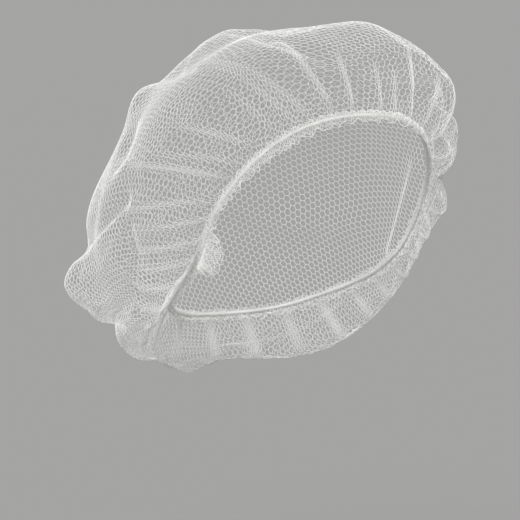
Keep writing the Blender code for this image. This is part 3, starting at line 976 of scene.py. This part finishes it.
def thread_finish():
    """The shader node group for spun thread: its shade in soft patches, its roughness and its grain."""
    name = "Thread Finish"
    if name in bpy.data.node_groups:
        return bpy.data.node_groups[name]
    group = bpy.data.node_groups.new(name, "ShaderNodeTree")
    add_sockets(
        group,
        "INPUT",
        {
            "Vector": "Vector",
            "Light Shade": "Color",
            "Dark Shade": "Color",
            "Patch Scale": "Float",
            "Grain Scale": "Float",
            "Low Roughness": "Float",
            "High Roughness": "Float",
        },
    )
    add_sockets(group, "OUTPUT", {"Color": "Color", "Roughness": "Float", "Height": "Float"})
    take = add_node(group, "NodeGroupInput").outputs
    patches, grain = (
        add_node(
            group, "ShaderNodeTexNoise", {"Vector": take["Vector"], "Scale": take[scale], "Detail": detail}
        ).outputs["Fac"]
        for scale, detail in (("Patch Scale", 3.0), ("Grain Scale", 2.0))
    )
    spread = add_node(
        group,
        "ShaderNodeMapRange",
        {"Value": patches, "From Min": PATCH_MIDDLE[0], "From Max": PATCH_MIDDLE[1]},
    ).outputs["Result"]
    amount = worked_out(
        group,
        "ADD",
        worked_out(group, "MULTIPLY", spread, PATCH_PART),
        worked_out(group, "MULTIPLY", grain, GRAIN_PART),
    )
    shade = add_node(
        group,
        "ShaderNodeMix",
        {"Factor": amount, "A": take["Light Shade"], "B": take["Dark Shade"]},
        data_type="RGBA",
    )
    rough = add_node(
        group,
        "ShaderNodeMapRange",
        {
            "Value": grain,
            "From Min": GRAIN_MIDDLE[0],
            "From Max": GRAIN_MIDDLE[1],
            "To Min": take["Low Roughness"],
            "To Max": take["High Roughness"],
        },
    ).outputs["Result"]
    add_node(
        group,
        "NodeGroupOutput",
        {"Color": shade.outputs["Result"], "Roughness": rough, "Height": grain},
    )
    return group


def thread_material(finish, light):
    """A material of spun thread whose shade wanders between a colour and a darker one."""
    if finish.name in bpy.data.materials:
        return bpy.data.materials[finish.name]
    material = bpy.data.materials.new(finish.name)
    material.use_nodes = True
    tree = material.node_tree
    shader = tree.nodes["Principled BSDF"]
    spun = tree.nodes.new("ShaderNodeGroup")
    spun.node_tree = thread_finish()
    tree.links.new(add_node(tree, "ShaderNodeTexCoord").outputs["Object"], spun.inputs["Vector"])
    for label, value in (
        ("Light Shade", (*light, 1)),
        ("Dark Shade", (*(finish.dark * part for part in light), 1)),
        ("Patch Scale", PATCH_SCALE),
        ("Grain Scale", GRAIN_SCALE),
        ("Low Roughness", finish.roughness[0]),
        ("High Roughness", finish.roughness[1]),
    ):
        spun.inputs[label].default_value = value
    bump = add_node(tree, "ShaderNodeBump", {"Height": spun.outputs["Height"], "Distance": finish.relief})
    tree.links.new(spun.outputs["Color"], shader.inputs["Base Color"])
    tree.links.new(spun.outputs["Roughness"], shader.inputs["Roughness"])
    tree.links.new(bump.outputs[0], shader.inputs["Normal"])
    return material


class HairnetNet(bpy.types.PropertyGroup):
    """The net's own sizes and colour."""

    cell: bpy.props.FloatProperty(
        name="Cell Size",
        description="From flat to flat of a cell on the flat cloth",
        default=0.0041,
        unit="LENGTH",
    )
    stretch: bpy.props.FloatProperty(
        name="Cell Stretch",
        description="Width of a cell as a share of a regular hexagon's",
        default=1.0,
    )
    thread: bpy.props.FloatProperty(
        name="Thread",
        description="Thickness of the net's thread",
        default=0.00028,
        unit="LENGTH",
    )
    lattice_turn: bpy.props.FloatProperty(
        name="Lattice Turn",
        description="Turn of the cells on the cloth",
        default=float(np.radians(-22)),
        subtype="ANGLE",
    )
    irregularity: bpy.props.FloatProperty(
        name="Irregularity",
        description="How far a knot strays from its place",
        default=0.00016,
        unit="LENGTH",
    )
    thread_colour: bpy.props.FloatVectorProperty(
        name="Thread Colour",
        description="Colour of the nylon thread",
        default=(0.92, 0.92, 0.905),
        subtype="COLOR",
    )


class HairnetHem(bpy.types.PropertyGroup):
    """The sizes and colour of the elastic, its stitches and the frill."""

    elastic_colour: bpy.props.FloatVectorProperty(
        name="Elastic Colour",
        description="Colour of the elastic and of its stitches",
        default=(0.82, 0.82, 0.805),
        subtype="COLOR",
    )
    stitches: bpy.props.IntProperty(
        name="Stitches",
        description="Number of overlock loops round the whole elastic",
        default=400,
    )
    stitch_thread: bpy.props.FloatProperty(
        name="Stitch Thread",
        description="Thickness of the overlock thread",
        default=0.00030,
        unit="LENGTH",
    )
    stitch_slope: bpy.props.FloatProperty(
        name="Stitch Slope",
        description="How far the loops lean to one side and the other",
        default=1.1,
    )
    cell_share: bpy.props.FloatProperty(
        name="Hem Cell",
        description="Size of the hem's cells as a share of the net's",
        default=0.76,
    )


class HairnetStage(bpy.types.PropertyGroup):
    """The floor, the light and the camera."""

    floor_height: bpy.props.FloatProperty(
        name="Floor Height",
        description="Height of the floor under the worn net",
        default=-0.40,
        unit="LENGTH",
    )
    floor_colour: bpy.props.FloatVectorProperty(
        name="Floor Colour",
        description="Colour of the matt floor",
        default=(0.31, 0.31, 0.307),
        subtype="COLOR",
    )
    sky_colour: bpy.props.FloatVectorProperty(
        name="Backdrop Colour",
        description="Colour of the even light from all round",
        default=(1.0, 1.0, 0.988),
        subtype="COLOR",
    )
    sky_strength: bpy.props.FloatProperty(
        name="Backdrop Strength",
        description="Strength of the even light, set so that the backdrop meets the floor with no line",
        default=0.3735,
    )
    lamp_strength: bpy.props.FloatProperty(
        name="Lamp Strength",
        description="Share of each lamp's own strength",
        default=1.0,
        subtype="FACTOR",
    )
    camera_place: bpy.props.FloatVectorProperty(
        name="Camera Place",
        description="Where the camera stands",
        default=(-0.771, -1.169, -0.023),
        subtype="TRANSLATION",
    )
    camera_target: bpy.props.FloatVectorProperty(
        name="Camera Target",
        description="The point in the middle of the picture",
        default=(-0.0105, 0.0026, -0.1207),
        subtype="TRANSLATION",
    )
    focal_length: bpy.props.FloatProperty(
        name="Focal Length",
        description="Focal length of the lens in millimetres",
        default=171.5,
    )


class HAIRNET_OT_net(bpy.types.Operator):
    """Makes the puffed net in five panels"""

    bl_idname = "hairnet.net"
    bl_label = "Make Net"

    def execute(self, context):
        look = context.scene.hairnet_net
        grid, cloth = bag_sheet()
        sheet = sheet_object("bag_sheet", grid, cloth, True)
        span = (CLOTH_SPAN, CLOTH_SPAN)
        lattice = lattice_on(sheet, look, span, look.cell, look.lattice_turn, NET_SEED)
        turns = face_turns(lattice)
        map_tree = cloth_map_tree()
        material = thread_material(NET_FINISH, look.thread_colour)
        for number, panel in enumerate(PANELS):
            wanted = (turns - panel.start) % 360 < panel.end - panel.start
            # Where two panels meet, one thread lies inside the other
            thread = look.thread * (1 + SEAM_STEP * (number % 3))
            cut = part_of(lattice, wanted)
            piece = threads_of(panel.name, cut, sheet, thread, map_tree, material)
            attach(piece, BODY)
            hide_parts("crown_net")
        bpy.data.objects.remove(sheet, do_unlink=True)
        return {"FINISHED"}


class HAIRNET_OT_elastic(bpy.types.Operator):
    """Makes the elastic inside the hem and the overlock loops round it"""

    bl_idname = "hairnet.elastic"
    bl_label = "Make Elastic"

    def execute(self, context):
        hem = context.scene.hairnet_hem
        material = thread_material(ELASTIC_FINISH, hem.elastic_colour)
        grid = elastic_core()
        sides, columns = grid.shape[:2]
        index = np.arange(sides * columns).reshape(sides, columns)
        low, up = index, np.roll(index, -1, 0)
        faces = np.stack([low, up, np.roll(up, -1, 1), np.roll(low, -1, 1)], -1).reshape(-1, 4)
        mesh = bpy.data.meshes.new("elastic_core")
        mesh.from_pydata(grid.reshape(-1, 3), [], faces.tolist())
        mesh.shade_smooth()
        mesh.materials.append(material)
        core = new_object("elastic_core", mesh)
        turns = np.arange(HEM_COLUMNS) * 360 / HEM_COLUMNS
        stitches = along_loop(
            "overlock_stitches",
            placed(turns, *rim_point(turns)),
            1 + HEM_SWELL * pucker(turns),
            stitch_tree(),
            {
                "Stitches": hem.stitches,
                "Half Thickness": ELASTIC_THICKNESS / 2 + HEM_LIFT,
                "Half Width": ELASTIC_WIDTH / 2 + HEM_LIFT,
                "Thread": hem.stitch_thread,
                "Slope": hem.stitch_slope,
                "Axis": (0.0, float(np.sin(RIM_SLANT)), float(np.cos(RIM_SLANT))),
                "Material": material,
            },
        )
        for piece in (core, stitches):
            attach(piece, BODY)
            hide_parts("elastic_band")
        return {"FINISHED"}


class HAIRNET_OT_frill(bpy.types.Operator):
    """Makes the net's edge, rolled round the elastic and standing out below it, and the thread along it"""

    bl_idname = "hairnet.frill"
    bl_label = "Make Frill"

    def execute(self, context):
        look = context.scene.hairnet_net
        hem = context.scene.hairnet_hem
        grid, cloth = hem_sheet()
        sheet = sheet_object("hem_sheet", grid, cloth, False)
        cell = look.cell * hem.cell_share
        lattice = lattice_on(sheet, look, HEM_CLOTH_SPAN, cell, 0.0, HEM_SEED)
        material = thread_material(NET_FINISH, look.thread_colour)
        thread = look.thread * HEM_THREAD
        net = threads_of("hem_net", lattice, sheet, thread, cloth_map_tree(), material)
        edge = along_loop(
            "frill_edge",
            grid[-1, :-1],
            np.ones(HEM_COLUMNS),
            edge_tree(),
            {"Thread": look.thread * EDGE_THREAD, "Material": material},
        )
        bpy.data.objects.remove(sheet, do_unlink=True)
        for piece in (net, edge):
            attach(piece, BODY)
            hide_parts("hem_frill")
        return {"FINISHED"}


class HAIRNET_OT_stage(bpy.types.Operator):
    """Makes the floor, the light and the camera"""

    bl_idname = "hairnet.stage"
    bl_label = "Make Stage"

    def execute(self, context):
        look = context.scene.hairnet_stage
        half = FLOOR_SPAN / 2
        corners = [(-half, -half), (half, -half), (half, half), (-half, half)]
        mesh = bpy.data.meshes.new("floor")
        mesh.from_pydata([(x, y, look.floor_height) for x, y in corners], [], [(0, 1, 2, 3)])
        floor = new_object("floor", mesh)
        material = bpy.data.materials.new("Pale floor")
        material.use_nodes = True
        shader = material.node_tree.nodes["Principled BSDF"]
        shader.inputs["Base Color"].default_value = (*look.floor_colour, 1)
        shader.inputs["Roughness"].default_value = 1.0
        shader.inputs["Specular IOR Level"].default_value = 0.0
        mesh.materials.append(material)
        world = bpy.data.worlds.new("Studio")
        context.scene.world = world
        world.use_nodes = True
        sky = world.node_tree.nodes["Background"]
        sky.inputs["Color"].default_value = (*look.sky_colour, 1)
        sky.inputs["Strength"].default_value = look.sky_strength
        context.scene.view_settings.view_transform = "Standard"
        for lamp in LAMPS:
            light = bpy.data.lights.new(lamp.name, "SUN")
            light.angle = np.radians(lamp.softness)
            light.energy = lamp.strength * look.lamp_strength
            obj = new_object(lamp.name, light)
            obj.rotation_euler = Vector(lamp.towards).to_track_quat("-Z", "Y").to_euler()
        camera = new_object("camera", bpy.data.cameras.new("camera"))
        context.scene.camera = camera
        camera.location = look.camera_place
        facing = Vector(look.camera_target) - camera.location
        camera.rotation_euler = facing.to_track_quat("-Z", "Y").to_euler()
        camera.data.lens = look.focal_length
        camera.data.sensor_width = SENSOR_WIDTH
        return {"FINISHED"}


class HAIRNET_PT_tools(bpy.types.Panel):
    """Lists what makes the hairnet, with its sizes and colours"""

    bl_idname = "HAIRNET_PT_tools"
    bl_label = "Hairnet"
    bl_space_type = "VIEW_3D"
    bl_region_type = "UI"
    bl_category = "Hairnet"

    def draw(self, context):
        scene = context.scene
        for settings, operators in (
            (scene.hairnet_net, ("hairnet.net",)),
            (scene.hairnet_hem, ("hairnet.elastic", "hairnet.frill")),
            (scene.hairnet_stage, ("hairnet.stage",)),
        ):
            box = self.layout.box()
            for name in settings.__annotations__:
                box.prop(settings, name)
            for operator in operators:
                box.operator(operator)


CLASSES = (
    HairnetNet,
    HairnetHem,
    HairnetStage,
    HAIRNET_OT_net,
    HAIRNET_OT_elastic,
    HAIRNET_OT_frill,
    HAIRNET_OT_stage,
    HAIRNET_PT_tools,
)


def register():
    for cls in CLASSES:
        bpy.utils.register_class(cls)
    bpy.types.Scene.hairnet_net = bpy.props.PointerProperty(type=HairnetNet)
    bpy.types.Scene.hairnet_hem = bpy.props.PointerProperty(type=HairnetHem)
    bpy.types.Scene.hairnet_stage = bpy.props.PointerProperty(type=HairnetStage)


def unregister():
    del bpy.types.Scene.hairnet_stage
    del bpy.types.Scene.hairnet_hem
    del bpy.types.Scene.hairnet_net
    for cls in reversed(CLASSES):
        bpy.utils.unregister_class(cls)


def main():
    """Makes every piece and the stage."""
    register()
    bpy.ops.hairnet.net()
    bpy.ops.hairnet.elastic()
    bpy.ops.hairnet.frill()
    bpy.ops.hairnet.stage()


if __name__ == "__main__":
    main()
